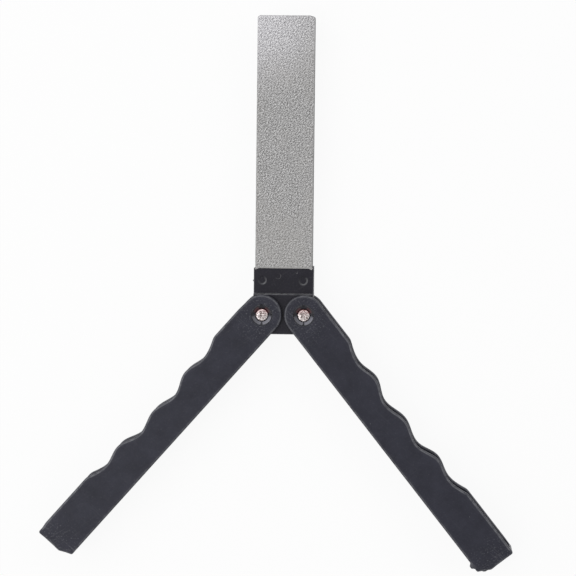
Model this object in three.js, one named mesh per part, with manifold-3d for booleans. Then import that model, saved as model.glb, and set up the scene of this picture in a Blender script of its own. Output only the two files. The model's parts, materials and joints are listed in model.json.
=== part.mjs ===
// Folding double-sided diamond whetstone: a bar faced with two diamond plates, whose hinge block
// carries two channel-shaped handles. Folded up, the handles cover the bar as a case. Swung down
// and side by side they make one grip. Here they lie spread, with the coarse face up.
// Units are millimetres. X runs across the bar, Y towards its tip and Z out of its coarse face.

import * as THREE from 'three';
import { mergeVertices } from 'three/addons/utils/BufferGeometryUtils.js';
import Module from 'manifold-3d';

// Bar: two plates bonded to the slab of the holder core
const STONE_LENGTH = 110;
const STONE_WIDTH = 25;
const PLATE_THICKNESS = 0.8;
const PLATE_CORNER_RADIUS = 1.3;
const FILM_THICKNESS = 0.15;
const SLAB_THICKNESS = 4.6;
const SLAB_INSET = 0.3;

// Holder: the seat below the plates and the thicker hinge block
const SIDE_LIP_THICKNESS = 0.45;
const SIDE_LIP_HEIGHT = 1.2;
const SEAT_LENGTH = 10.9;
const SEAT_BELOW_PLATE = 0.3;
const RECESS_RADIUS = 1.9;
const RECESS_DEPTH = 0.4;
const RECESS_ABOVE_SHOULDER = 5.7;
const SHOULDER_ABOVE_PIVOT = 9.1;
const SHOULDER_CHAMFER = 0.8;
const BLOCK_BELOW_PIVOT = 8.6;
const BLOCK_CORNER_RADIUS = 5;

// Handles: channels with a spine, an end wall and four finger grooves
const WALL = 2.4;
const SPINE_WALL = 2.4;
const END_WALL = 2.4;
const SIDE_ROOM = 1.75;
const SPINE_ROOM = 2.25;
const TIP_ROOM = 5.4;
const HANDLE_GAP = 0.6;
const PIVOT_OFFSET = 0.125;
const HANDLE_FLARE = 0.2;
const EDGE_CHAMFER = 0.6;
const TIP_BEVEL_LENGTH = 2.9;
const TIP_BEVEL_WIDTH = 5.6;
const TIP_CORNER_RADIUS = 0.8;
const GRIP_START = 22;
const OUTER_GROOVE_WIDTH = 19.2;
const INNER_GROOVE_WIDTH = 22.4;
const OUTER_GROOVE_DEPTH = 2.8;
const INNER_GROOVE_DEPTH = 4.45;
const OUTER_CREST_DEPTH = 0.93;
const MIDDLE_CREST_DEPTH = 1.98;

// How far each handle stands away from its place in use, in degrees
const LEFT_SPREAD = 41.3;
const RIGHT_SPREAD = 38.4;

// Pivots: a bush from each side, joined by a screw and a nut
const STEM_WALL = 1.2;
const BARREL_WALL = 0.35;
const FLANGE_STEP = 0.8;
const FLANGE_THICKNESS = 1;
const FLANGE_RIM = 0.2;
const DISH_DEPTH = 0.95;
const SLOT_WIDTH = 0.9;
const SLOT_FLOOR = 0.3;
const SLOT_COUNT = 4;
const SCREW_RADIUS = 1.5;
const HEAD_RADIUS = 2.75;
const HEAD_HEIGHT = 1.6;
const HEAD_SIDE_HEIGHT = 0.7;
const CROSS_LENGTH = 3.2;
const CROSS_WIDTH = 0.85;
const CROSS_DEPTH = 1.1;
const NUT_ACROSS_FLATS = 5.5;
const NUT_THICKNESS = 1.8;
const NUT_SUNK = 0.2;

// Clearances
const RUNNING_CLEARANCE = 0.3;
const FIT_CLEARANCE = 0.15;
const FACE_GAP = 0.05;
const PLATE_END_GAP = 0.2;

// Fineness of the facets, sides of a nut, and how far a cutter reaches past what it cuts
const ARC_STEPS = 10;
const ROUND_SIDES = 32;
const GROOVE_STEPS = 12;
const HEXAGON = 6;
const MERGE_TOLERANCE = 1e-4;
const OVERCUT = 1;

// Layers of the bar, counted from its middle plane
const FILM_FACE = SLAB_THICKNESS / 2 + FACE_GAP;
const PLATE_FACE = FILM_FACE + FILM_THICKNESS + FACE_GAP;
const WORKING_FACE = PLATE_FACE + PLATE_THICKNESS;
const SEAT_FACE = WORKING_FACE - SEAT_BELOW_PLATE;

// Folded up, the channels take the bar and the holder with room on every side
const HOLDER_WIDTH = STONE_WIDTH + 2 * (SIDE_LIP_THICKNESS + FIT_CLEARANCE);
const CHANNEL = 2 * (WORKING_FACE + SIDE_ROOM);
const HANDLE_THICKNESS = CHANNEL + 2 * WALL;
const HALF_THICKNESS = HANDLE_THICKNESS / 2;
const BLOCK_THICKNESS = CHANNEL - 2 * RUNNING_CLEARANCE;
const HANDLE_WIDTH = HOLDER_WIDTH / 2 + SPINE_ROOM + SPINE_WALL - HANDLE_GAP / 2;
const PIVOT_X = (HANDLE_WIDTH + HANDLE_GAP) / 2 + PIVOT_OFFSET;
const SPINE_EDGE = HANDLE_WIDTH / 2 - PIVOT_OFFSET;
const SEAT_END = SHOULDER_ABOVE_PIVOT + SEAT_LENGTH;
const PLATE_START = SEAT_END + PLATE_END_GAP;
const STONE_TIP = PLATE_START + STONE_LENGTH;
const HANDLE_REACH = STONE_TIP + TIP_ROOM + END_WALL;

// The spine starts beyond the hinge block's farthest corner, so it passes the block at every angle
const BLOCK_SIDE = HOLDER_WIDTH / 2 - PIVOT_X;
const BLOCK_END = Math.max(SHOULDER_ABOVE_PIVOT, BLOCK_BELOW_PIVOT);
const SPINE_START = Math.hypot(BLOCK_SIDE, BLOCK_END) + RUNNING_CLEARANCE;

// Pivot fits
const SHANK_HOLE_RADIUS = SCREW_RADIUS + FIT_CLEARANCE;
const STEM_RADIUS = SHANK_HOLE_RADIUS + STEM_WALL;
const HEAD_POCKET_RADIUS = HEAD_RADIUS + RUNNING_CLEARANCE;
const NUT_RADIUS = hexagonRadius(NUT_ACROSS_FLATS);
const NUT_POCKET_RADIUS = hexagonRadius(NUT_ACROSS_FLATS + 2 * FIT_CLEARANCE);
const BARREL_RADIUS = Math.max(HEAD_POCKET_RADIUS, NUT_POCKET_RADIUS) + BARREL_WALL;
const FLANGE_RADIUS = BARREL_RADIUS + FLANGE_STEP;
const LUG_BORE_RADIUS = BARREL_RADIUS + RUNNING_CLEARANCE;
const COUNTERBORE_RADIUS = FLANGE_RADIUS + RUNNING_CLEARANCE;
const COUNTERBORE_DEPTH = FLANGE_THICKNESS + RUNNING_CLEARANCE;
const BUSH_SHOULDER = BLOCK_THICKNESS / 2 + FACE_GAP;
const HEAD_SEAT = HALF_THICKNESS - HEAD_HEIGHT - FACE_GAP;
const NUT_SEAT = HALF_THICKNESS - NUT_SUNK - NUT_THICKNESS - FACE_GAP;

function hexagonRadius(acrossFlats) {
  return acrossFlats / 2 / Math.cos(Math.PI / HEXAGON);
}

const wasm = await Module();
wasm.setup();

// Solids and their joins and cuts

function solidOf(geometry) {
  geometry.deleteAttribute('normal');
  geometry.deleteAttribute('uv');
  const merged = mergeVertices(geometry, MERGE_TOLERANCE);
  const mesh = new wasm.Mesh({
    numProp: 3,
    vertProperties: new Float32Array(merged.attributes.position.array),
    triVerts: new Uint32Array(merged.index.array),
  });
  return new wasm.Manifold(mesh);
}

function cut(geometry, ...cutters) {
  return cutters.reduce((rest, cutter) => rest.subtract(solidOf(cutter)), solidOf(geometry));
}

function geometryOf(solid) {
  const { vertProperties, triVerts } = solid.getMesh();
  const geometry = new THREE.BufferGeometry();
  geometry.setAttribute('position', new THREE.BufferAttribute(new Float32Array(vertProperties), 3));
  geometry.setIndex(new THREE.BufferAttribute(new Uint32Array(triVerts), 1));
  return geometry;
}

// Shapes

function arc(x, y, radius, fromDegrees, toDegrees, steps = ARC_STEPS) {
  const points = [];
  for (let step = 0; step <= steps; step += 1) {
    const angle = THREE.MathUtils.degToRad(THREE.MathUtils.lerp(fromDegrees, toDegrees, step / steps));
    points.push(new THREE.Vector2(x + radius * Math.cos(angle), y + radius * Math.sin(angle)));
  }
  return points;
}

// A plate of the given outline, centred on the middle plane, with both rims chamfered
function plate(outline, thickness, chamfer = 0) {
  const depth = thickness - 2 * chamfer;
  const geometry = new THREE.ExtrudeGeometry(new THREE.Shape(outline), {
    depth,
    bevelEnabled: chamfer > 0,
    bevelThickness: chamfer,
    bevelSize: chamfer,
    bevelOffset: -chamfer,
    bevelSegments: 1,
  });
  return geometry.translate(0, 0, -depth / 2);
}

function box(left, right, near, far, low, high) {
  const geometry = new THREE.BoxGeometry(right - left, far - near, high - low);
  return geometry.translate((left + right) / 2, (near + far) / 2, (low + high) / 2);
}

// An upright prism between two heights, round or with the given number of sides
function upright(radius, low, high, sides = ROUND_SIDES) {
  const geometry = new THREE.CylinderGeometry(radius, radius, high - low, sides);
  return geometry.rotateX(Math.PI / 2).translate(0, 0, (low + high) / 2);
}

// A body turned about Z from [radius, height] pairs
function turned(profile) {
  const points = profile.map(([radius, height]) => new THREE.Vector2(radius, height));
  return new THREE.LatheGeometry(points, ROUND_SIDES).rotateX(Math.PI / 2);
}

// Materials

function plastic(color, roughness) {
  return new THREE.MeshStandardMaterial({ color, roughness, metalness: 0 });
}

function metal(color, roughness) {
  return new THREE.MeshStandardMaterial({ color, roughness, metalness: 1 });
}

const handlePlastic = plastic(0x3c3d43, 0.5);
const holderPlastic = plastic(0x2e2d33, 0.45);
const bushPlastic = plastic(0x26262a, 0.4);
const adhesive = plastic(0x1a1a1c, 0.7);
const diamondCoating = metal(0xaaa8aa, 0.75);
const screwMetal = metal(0xc9aca2, 0.35);
const nutMetal = metal(0xb4b4b6, 0.4);

const assembly = new THREE.Group();

function addPiece(name, geometry, material) {
  const mesh = new THREE.Mesh(geometry, material);
  mesh.name = name;
  assembly.add(mesh);
  return mesh;
}

// Bar

// Outline of a layer of the bar, with the two tip corners rounded
function barOutline(inset, start) {
  const half = STONE_WIDTH / 2 - inset;
  const tip = STONE_TIP - inset;
  const radius = PLATE_CORNER_RADIUS;
  return [
    new THREE.Vector2(-half, start),
    new THREE.Vector2(half, start),
    ...arc(half - radius, tip - radius, radius, 0, 90),
    ...arc(radius - half, tip - radius, radius, 90, 180),
  ];
}

function addBarLayers() {
  const plateMiddle = PLATE_FACE + PLATE_THICKNESS / 2;
  const filmMiddle = FILM_FACE + FILM_THICKNESS / 2;
  for (const [grade, side] of [['coarse', 1], ['fine', -1]]) {
    const diamondPlate = plate(barOutline(0, PLATE_START), PLATE_THICKNESS);
    const bondFilm = plate(barOutline(SLAB_INSET, PLATE_START), FILM_THICKNESS);
    addPiece(`${grade}_diamond_plate`, diamondPlate, diamondCoating).position.z = side * plateMiddle;
    addPiece(`${grade}_bond_film`, bondFilm, adhesive).position.z = side * filmMiddle;
  }
}

// Holder core

// Plan of the core: hinge block with round lower corners, seat, and the slab between the plates
function corePlan() {
  const half = HOLDER_WIDTH / 2;
  const slabHalf = STONE_WIDTH / 2 - SLAB_INSET;
  const radius = BLOCK_CORNER_RADIUS;
  const low = radius - BLOCK_BELOW_PIVOT;
  return [
    ...arc(radius - half, low, radius, 180, 270),
    ...arc(half - radius, low, radius, 270, 360),
    new THREE.Vector2(half, SEAT_END),
    new THREE.Vector2(slabHalf, SEAT_END),
    ...barOutline(SLAB_INSET, SEAT_END).slice(2),
    new THREE.Vector2(-slabHalf, SEAT_END),
    new THREE.Vector2(-half, SEAT_END),
  ];
}

// Half of the core's side view as [along Y, half thickness], from the block's foot to the tip
function coreSideView() {
  const block = BLOCK_THICKNESS / 2;
  const slab = SLAB_THICKNESS / 2;
  return [
    [-BLOCK_BELOW_PIVOT - OVERCUT, block],
    [SHOULDER_ABOVE_PIVOT - SHOULDER_CHAMFER, block],
    [SHOULDER_ABOVE_PIVOT, block - SHOULDER_CHAMFER],
    [SHOULDER_ABOVE_PIVOT, SEAT_FACE],
    [SEAT_END, SEAT_FACE],
    [SEAT_END, slab],
    [STONE_TIP + OVERCUT, slab],
  ];
}

// The side view carried across the whole width
function coreSection() {
  const upper = coreSideView().map(([along, height]) => new THREE.Vector2(along, height));
  const lower = coreSideView().reverse().map(([along, height]) => new THREE.Vector2(along, -height));
  const section = plate([...upper, ...lower], HOLDER_WIDTH + 2 * OVERCUT);
  const axes = new THREE.Matrix4().makeBasis(
    new THREE.Vector3(0, 1, 0),
    new THREE.Vector3(0, 0, 1),
    new THREE.Vector3(1, 0, 0),
  );
  return section.applyMatrix4(axes);
}

function holderCore() {
  const lipOuter = HOLDER_WIDTH / 2;
  const lipInner = STONE_WIDTH / 2 + FIT_CLEARANCE;
  const recessFloor = SEAT_FACE - RECESS_DEPTH;
  const recessY = SHOULDER_ABOVE_PIVOT + RECESS_ABOVE_SHOULDER;
  let solid = solidOf(plate(corePlan(), BLOCK_THICKNESS)).intersect(solidOf(coreSection()));
  for (const side of [-1, 1]) {
    const [left, right] = [side * lipInner, side * lipOuter].sort((a, b) => a - b);
    const lip = box(left, right, SEAT_END - OVERCUT, SEAT_END + SIDE_LIP_HEIGHT, -SEAT_FACE, SEAT_FACE);
    const pivotBore = upright(STEM_RADIUS + FIT_CLEARANCE, -HALF_THICKNESS, HALF_THICKNESS);
    solid = solid.add(solidOf(lip));
    solid = solid.subtract(solidOf(pivotBore.translate(side * PIVOT_X, 0, 0)));
    for (const [low, high] of [[recessFloor, SEAT_FACE + OVERCUT], [-SEAT_FACE - OVERCUT, -recessFloor]]) {
      const recess = upright(RECESS_RADIUS, low, high, ROUND_SIDES / 2);
      solid = solid.subtract(solidOf(recess.translate(side * PIVOT_X, recessY, 0)));
    }
  }
  return geometryOf(solid);
}

// Handles, drawn with the pivot at the origin, the tip along +X and the open side along +Y

// Grip knots as [place along the handle, depth below the straight edge]: groove, crest, groove ...
function gripKnots() {
  const widths = [OUTER_GROOVE_WIDTH, INNER_GROOVE_WIDTH, INNER_GROOVE_WIDTH, OUTER_GROOVE_WIDTH];
  const grooves = [OUTER_GROOVE_DEPTH, INNER_GROOVE_DEPTH, INNER_GROOVE_DEPTH, OUTER_GROOVE_DEPTH];
  const crests = [OUTER_CREST_DEPTH, MIDDLE_CREST_DEPTH, OUTER_CREST_DEPTH, 0];
  const knots = [[GRIP_START, 0]];
  let along = GRIP_START;
  widths.forEach((width, index) => {
    knots.push([along + width / 2, grooves[index]]);
    along += width;
    knots.push([along, crests[index]]);
  });
  return knots;
}

// Height of the open edge above the pivot, before the grooves are taken out
function openEdge(along) {
  return HANDLE_WIDTH - SPINE_EDGE + (HANDLE_FLARE * along) / HANDLE_REACH;
}

// The scalloped edge from the lug to the tip: waves between knots, a crisp corner at each end
function gripEdge() {
  const knots = gripKnots();
  const last = knots.length - 2;
  const points = [];
  for (let index = 0; index <= last; index += 1) {
    const [start, startDepth] = knots[index];
    const [end, endDepth] = knots[index + 1];
    for (let step = 0; step < GROOVE_STEPS / 2; step += 1) {
      const share = step / (GROOVE_STEPS / 2);
      let ease = (1 - Math.cos(Math.PI * share)) / 2;
      if (index === 0) ease = Math.sin((Math.PI * share) / 2);
      if (index === last) ease = 1 - Math.cos((Math.PI * share) / 2);
      const along = THREE.MathUtils.lerp(start, end, share);
      const depth = THREE.MathUtils.lerp(startDepth, endDepth, ease);
      points.push(new THREE.Vector2(along, openEdge(along) - depth));
    }
  }
  const gripEnd = knots[last + 1][0];
  points.push(new THREE.Vector2(gripEnd, openEdge(gripEnd)));
  return points;
}

// The lug's arc meets both edges, so its middle lies beside the pivot
function handleOutline() {
  const radius = TIP_CORNER_RADIUS;
  const cornerX = HANDLE_REACH - radius;
  const cornerY = openEdge(HANDLE_REACH) - radius;
  return [
    ...arc(0, PIVOT_OFFSET, HANDLE_WIDTH / 2, 90, 270, 2 * ARC_STEPS),
    new THREE.Vector2(HANDLE_REACH - TIP_BEVEL_LENGTH, -SPINE_EDGE),
    new THREE.Vector2(HANDLE_REACH, TIP_BEVEL_WIDTH - SPINE_EDGE),
    ...arc(cornerX, cornerY, radius, 0, 90, ARC_STEPS / 2),
    ...gripEdge().reverse(),
  ];
}

// The channel is open on the scalloped side and all round the lug, where the spine stops short
function channelOutline() {
  const past = HANDLE_WIDTH;
  const spineFace = SPINE_WALL - SPINE_EDGE;
  const endFace = HANDLE_REACH - END_WALL;
  return [
    new THREE.Vector2(-past, -past),
    new THREE.Vector2(SPINE_START, -past),
    new THREE.Vector2(SPINE_START, spineFace),
    new THREE.Vector2(endFace, spineFace),
    new THREE.Vector2(endFace, past),
    new THREE.Vector2(-past, past),
  ];
}

function mirrored(outline, side) {
  return outline.map((point) => new THREE.Vector2(point.x, side * point.y));
}

function handle(side) {
  const counterboreFloor = HALF_THICKNESS - COUNTERBORE_DEPTH;
  const top = HALF_THICKNESS + OVERCUT;
  return geometryOf(cut(
    plate(mirrored(handleOutline(), side), HANDLE_THICKNESS, EDGE_CHAMFER),
    plate(mirrored(channelOutline(), side), CHANNEL),
    upright(LUG_BORE_RADIUS, -top, top),
    upright(COUNTERBORE_RADIUS, counterboreFloor, top),
    upright(COUNTERBORE_RADIUS, -top, -counterboreFloor),
  ));
}

function addHandle(name, side, spread) {
  const mesh = addPiece(name, handle(side), handlePlastic);
  mesh.position.x = side * PIVOT_X;
  mesh.rotation.z = -Math.PI / 2 + side * THREE.MathUtils.degToRad(spread);
}

// Pivots, drawn about Z with the middle plane of the handles at zero

// Bush from the middle plane to the outer face: a stem in the hinge block, a shoulder that rests on
// the block, a barrel that the lug turns on, a flange that keeps the lug, and the screw's hole
function bushBlank() {
  const foot = FACE_GAP;
  const flangeFoot = HALF_THICKNESS - FLANGE_THICKNESS;
  return turned([
    [SHANK_HOLE_RADIUS, foot],
    [STEM_RADIUS, foot],
    [STEM_RADIUS, BUSH_SHOULDER],
    [BARREL_RADIUS, BUSH_SHOULDER],
    [BARREL_RADIUS, flangeFoot],
    [FLANGE_RADIUS, flangeFoot],
    [FLANGE_RADIUS, HALF_THICKNESS],
    [SHANK_HOLE_RADIUS, HALF_THICKNESS],
    [SHANK_HOLE_RADIUS, foot],
  ]);
}

// Conical dish that leads down to the pocket of the screw head
function headDish() {
  const dishRadius = FLANGE_RADIUS - FLANGE_RIM;
  const dishFoot = HALF_THICKNESS - DISH_DEPTH;
  return turned([
    [0, HEAD_SEAT],
    [HEAD_POCKET_RADIUS, HEAD_SEAT],
    [HEAD_POCKET_RADIUS, dishFoot],
    [dishRadius, HALF_THICKNESS],
    [dishRadius, HALF_THICKNESS + OVERCUT],
    [0, HALF_THICKNESS + OVERCUT],
  ]);
}

function frontBush() {
  const slots = [];
  for (let index = 0; index < SLOT_COUNT; index += 1) {
    const slot = box(
      HEAD_POCKET_RADIUS, FLANGE_RADIUS + OVERCUT, -SLOT_WIDTH / 2, SLOT_WIDTH / 2,
      HALF_THICKNESS - FLANGE_THICKNESS + SLOT_FLOOR, HALF_THICKNESS + OVERCUT,
    );
    slots.push(slot.rotateZ((2 * Math.PI * index) / SLOT_COUNT));
  }
  return geometryOf(cut(bushBlank(), headDish(), ...slots));
}

function rearBush() {
  const pocket = upright(NUT_POCKET_RADIUS, NUT_SEAT, HALF_THICKNESS + OVERCUT, HEXAGON);
  return geometryOf(cut(bushBlank(), pocket)).rotateX(Math.PI);
}

function pivotScrew() {
  const foot = NUT_SUNK - HALF_THICKNESS;
  const seat = HEAD_SEAT + FACE_GAP;
  const top = seat + HEAD_HEIGHT;
  const shoulder = seat + HEAD_SIDE_HEIGHT;
  const dome = arc(0, shoulder, 1, 0, 90, ARC_STEPS / 2).map((point) => [
    HEAD_RADIUS * point.x,
    THREE.MathUtils.lerp(shoulder, top, point.y - shoulder),
  ]);
  const blank = turned([[0, foot], [SCREW_RADIUS, foot], [SCREW_RADIUS, seat], [HEAD_RADIUS, seat],
    ...dome.slice(0, -1), [0, top]]);
  const [length, width, floor] = [CROSS_LENGTH / 2, CROSS_WIDTH / 2, top - CROSS_DEPTH];
  return geometryOf(cut(
    blank,
    box(-length, length, -width, width, floor, top + OVERCUT),
    box(-width, width, -length, length, floor, top + OVERCUT),
  ));
}

function pivotNut() {
  const seat = NUT_SEAT + FACE_GAP;
  const blank = upright(NUT_RADIUS, seat, seat + NUT_THICKNESS, HEXAGON);
  const thread = upright(SHANK_HOLE_RADIUS, seat - OVERCUT, HALF_THICKNESS + OVERCUT);
  return geometryOf(cut(blank, thread)).rotateX(Math.PI);
}

function addPivot(name, side) {
  addPiece(`${name}_front_bush`, frontBush(), bushPlastic).position.x = side * PIVOT_X;
  addPiece(`${name}_rear_bush`, rearBush(), bushPlastic).position.x = side * PIVOT_X;
  addPiece(`${name}_pivot_screw`, pivotScrew(), screwMetal).position.x = side * PIVOT_X;
  addPiece(`${name}_pivot_nut`, pivotNut(), nutMetal).position.x = side * PIVOT_X;
}

addPiece('holder_core', holderCore(), holderPlastic);
addBarLayers();
addHandle('left_handle', -1, LEFT_SPREAD);
addHandle('right_handle', 1, RIGHT_SPREAD);
addPivot('left', -1);
addPivot('right', 1);

// The whole part stands on its handles' rear faces, with the middle of its box at the origin
const bounds = new THREE.Box3().setFromObject(assembly, true);
const middle = bounds.getCenter(new THREE.Vector3());
assembly.position.set(-middle.x, -middle.y, -bounds.min.z);

const whetstone = new THREE.Group();
whetstone.add(assembly);

export default whetstone;
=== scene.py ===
import json
import math

import bmesh
import bpy
import numpy as np
from mathutils import Matrix, Vector, noise
from mathutils.geometry import delaunay_2d_cdt


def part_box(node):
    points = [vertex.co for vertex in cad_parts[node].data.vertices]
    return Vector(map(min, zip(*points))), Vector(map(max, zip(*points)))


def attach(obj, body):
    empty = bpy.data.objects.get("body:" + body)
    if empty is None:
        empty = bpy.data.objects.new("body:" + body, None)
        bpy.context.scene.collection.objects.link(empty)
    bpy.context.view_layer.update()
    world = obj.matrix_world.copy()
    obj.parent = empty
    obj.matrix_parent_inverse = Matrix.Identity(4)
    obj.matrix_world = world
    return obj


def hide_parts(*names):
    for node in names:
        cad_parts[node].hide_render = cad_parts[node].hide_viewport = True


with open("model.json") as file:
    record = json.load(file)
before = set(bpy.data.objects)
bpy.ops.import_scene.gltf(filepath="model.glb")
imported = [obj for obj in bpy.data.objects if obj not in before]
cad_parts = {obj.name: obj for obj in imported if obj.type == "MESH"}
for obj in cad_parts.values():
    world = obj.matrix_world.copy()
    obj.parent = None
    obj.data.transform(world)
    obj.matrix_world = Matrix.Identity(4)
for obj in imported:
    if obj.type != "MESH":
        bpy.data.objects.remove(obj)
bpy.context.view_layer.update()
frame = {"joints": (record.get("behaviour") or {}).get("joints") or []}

# The script's own unit is the millimetre. A mesh turns into metres when its piece is made.
MM = 0.001

# Handles
HANDLE_WIDTH = 17.45
PIVOT_OFFSET = 0.125
HANDLE_REACH = 138.0
HANDLE_FLARE = 0.2
SPINE_WALL = 2.4
END_WALL = 2.4
SIDE_WALL = 2.4
SPINE_START = 10.22
WEB_CORNER_RADIUS = 0.2
WEB_STEP = 1.5
TIP_BEVEL_LENGTH = {"left": 2.6, "right": 2.9}
TIP_BEVEL_WIDTH = 5.6
TIP_CORNER_RADIUS = 0.9
BEVEL_CORNER_RADIUS = 0.8
CHANNEL_CORNER_RADIUS = 1.5
GRIP_ROUND = 0.92
SPINE_ROUND = 1.0
REAR_ROUND_SHARE = 0.45
INNER_ROUND = 0.8
TIP_ROUND = 1.0
CORNER_ROUND = 0.55
CORNER_SOFTNESS = (-1.0, -0.5, 0.0, 0.5, 1.0)
ROUND_TAPER = 4.0
EDGE_UNEVENNESS = 0.16
# Edge wear, as a share of bare plastic; on the handles' outer rounded edges it is partly a painted rim
# highlight
SIDE_WEAR = 0.06
SPINE_RUB = 0.55
LUG_RUB = 0.6
RIM_WEAR = 0.5
LIP_WEAR = 0.8
# Scuffs all over a handle, and more at its tip and round its pivot
BASE_SCUFF = 0.1
TIP_SCUFF = 0.6
LUG_SCUFF = 0.6
# How much wider each handle came out of the mould near the pivot and near the tip
EXTRA_WIDTH = {"left": (0.28, 0.44), "right": (-0.05, 0.14)}
GRIP_KNOTS = (
    (21.5, 0.0), (31.6, 2.8), (41.2, 0.93), (52.4, 4.45), (63.6, 1.98),
    (74.8, 4.45), (86.0, 0.93), (95.6, 2.8), (105.2, 0.0),
)
COUNTERBORE_RADIUS = 4.64
COUNTERBORE_DEPTH = 1.3
COUNTERBORE_LIP = 0.08
LUG_BORE_RADIUS = 4.0
SINK_DEPTH = 0.035
SINK_WIDTH = 1.1
WAVE_DEPTH = 0.02
PARTING_DEPTH = 0.05
FACE_SPACING = 0.9
FACE_MARGIN = 0.45
OUTLINE_STEP = 0.5

# Lumps of moulding flash on the right handle's tip, as (along, across, half length, height)
TIP_FLASH = {"left": (), "right": ((131.9, -8.6, 1.6, 1.2), (136.6, -5.6, 1.3, 0.48))}
REAR_FLASH_SHARE = 0.3

# Holder, counted from the line through both pivots
HOLDER_HALF_WIDTH = 13.1
BLOCK_HALF_HEIGHT = 4.8
BLOCK_FOOT = -8.6
BLOCK_CORNER_RADIUS = 5.0
SHOULDER = 9.1
SHOULDER_ROUND = 0.55
SEAT_HALF_HEIGHT = 3.05
SEAT_END = 20.0
SLAB_HALF_HEIGHT = 2.3
SLAB_HALF_WIDTH = 12.2
LIP_WIDTH = 0.45
LIP_HEIGHT = 1.2
LIP_ROUND = 0.1
LIP_INSET = 0.02
BROKEN_LIP_HEIGHT = 0.3
HOLDER_ROUND = 0.3
HOLDER_SCUFF = 0.12
STEM_BORE_RADIUS = 3.0

# Round marks in the seat, as (across, along, radius, depth)
SEAT_MARKS = (
    (-9.4, 14.95, 2.0, 0.4),
    (8.55, 14.9, 2.05, 0.4),
    (-2.5, 16.8, 1.35, 0.12),
    (5.7, 18.5, 0.55, 0.16),
)
MARK_SLOPE = 1.7
# Painted highlight on a mark's rim, as its share of edge wear at its upper left and at its lower right
MARK_HIGHLIGHT = (0.14, 0.8)
# A nub on the seat's side, as (across, along, depth below the seat's face)
SIDE_NUB = (-13.1, 14.7, 1.2)
NUB_RADIUS = 0.42

# Plates
GRIT_STEP = 0.36
GRAIN_LIMIT = 2.2
GRAIN_SHARPNESS = 0.16
GRAIN_EVENNESS = 0.5
GRAIN_CONTRAST = 1.1
GRAIN_TONE = 0.22
BARE_TONE = 0.5
COARSE_GRIT = 0.03
FINE_GRIT = 0.015
PLATE_CORNER_RADIUS = 1.3
PLATE_RAGGED = 0.05
PLATE_EDGE_DROP = 0.06
BLUNT_CORNER_RADIUS = 2.1
BARE_STRIP = 0.9
# How much brighter the grit grows towards one corner of a plate's tip
CORNER_BRIGHTENING = 0.95
CORNER_DIP = 0.6

# Films
FILM_STEP = 0.8
FILM_UNEVENNESS = 0.12
FILM_ROUND = 0.05

# Pivots, counted from the handles' middle plane
SCREW_RADIUS = 1.5
SHANK_HOLE_RADIUS = 1.65
STEM_RADIUS = 2.85
BARREL_RADIUS = 3.7
BUSH_SHOULDER = 4.85
BUSH_FOOT = 0.05
FLANGE_THICKNESS = 1.0
FLANGE_ROUND = 0.1
DISH_RADIUS = 4.32
DISH_DEPTH = 0.95
# Strength of the painted highlight on the arc above a screw's dish
RIM_HIGHLIGHT = 0.25
HEAD_POCKET_RADIUS = 2.86
HEAD_SEAT = 5.85
HEAD_HEIGHT = 1.6
HEAD_SIDE_HEIGHT = 0.7
HEAD_EDGE = 0.12
HEAD_CROWN = 3.6
SLOT_HALF_WIDTH = 0.45
SLOT_HEIGHT = 6.8
SLOT_COUNT = 4
CROSS_HALF_LENGTH = 1.65
CROSS_HALF_WIDTH = 0.36
CROSS_DEPTH = 0.9
THREAD_PITCH = 0.5
THREAD_DEPTH = 0.12
PLATING_RELIEF = 0.04
# Strength of the painted shade over a screw head's upper half
HEAD_SHADE = 0.4
NUT_ACROSS_FLATS = 5.5
NUT_THICKNESS = 1.8
NUT_SUNK = 0.2
NUT_SEAT = 5.5
NUT_POCKET_GAP = 0.15
NUT_CHAMFER = 0.25
NUT_FACE_SHARE = 0.93
NUT_FACE_SLOPE = 30.0
CROSS_TURN = {"left": 22.0, "right": 52.0}

# Camera, as the photograph was taken: place in the frame, turn and lens
CAMERA_PLACE = (59.819, 67.888, 980.264)
CAMERA_TURN = (-3.83575, 3.30743, 0.62203)
CAMERA_LENS = 139.17
SENSOR_WIDTH = 36.0

# Stage: the floor lies just below the part, and the lamps all point at the frame's origin
FLOOR_LEVEL = -0.05
FLOOR_REACH = 3.0
FLOOR_GLOW = 0.92
WORLD_STRENGTH = 0.28
# Lamps, as (place in metres, width and height in metres, watts)
LAMPS = {
    "top_softbox": ((-0.3, 0.85, 0.75), (2.0, 0.6), 6.2),
    "left_softbox": ((-0.9, -0.3, 0.65), (1.0, 0.5), 2.8),
    "right_softbox": ((0.85, 0.4, 0.6), (1.2, 0.5), 2.5),
    "front_softbox": ((0.0, -0.9, 0.6), (1.2, 0.5), 1.1),
    "high_softbox": ((-0.45, -0.1, 0.9), (0.55, 0.55), 1.8),
}



def node_box(node):
    """Lowest and highest corner of a node."""
    return [np.array(corner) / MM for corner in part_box(node)]


def half_size(node, axis):
    low, high = node_box(node)
    return (high[axis] - low[axis]) / 2


# Places and sizes that the frame gives
PIVOTS = {joint["child"]: np.array(joint["pos_m"]) / MM for joint in frame["joints"]}
SPREADS = {joint["child"]: min(map(abs, joint["range_deg"])) for joint in frame["joints"]}
SIDES = {"left": -1, "right": 1}
MID_PIVOT = sum(PIVOTS.values()) / len(PIVOTS)
HALF_THICKNESS = half_size("left_handle", 2)
FLANGE_RADIUS = half_size("left_front_bush", 0)
HEAD_RADIUS = half_size("left_pivot_screw", 0)
CHANNEL_HALF = HALF_THICKNESS - SIDE_WALL
SPINE_EDGE = HANDLE_WIDTH / 2 - PIVOT_OFFSET
CHANNEL_FLOOR = SPINE_WALL - SPINE_EDGE
CHANNEL_END = HANDLE_REACH - END_WALL

# How finely rounds are divided
ROUND_STEPS = 6
BLOCK_CORNER_STEPS = 10
GRIP_STEPS = 340
CIRCLE_STEPS = 96
DOME_ROWS = 46
THREAD_ROWS = 150
NUT_STEPS = 72
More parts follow.
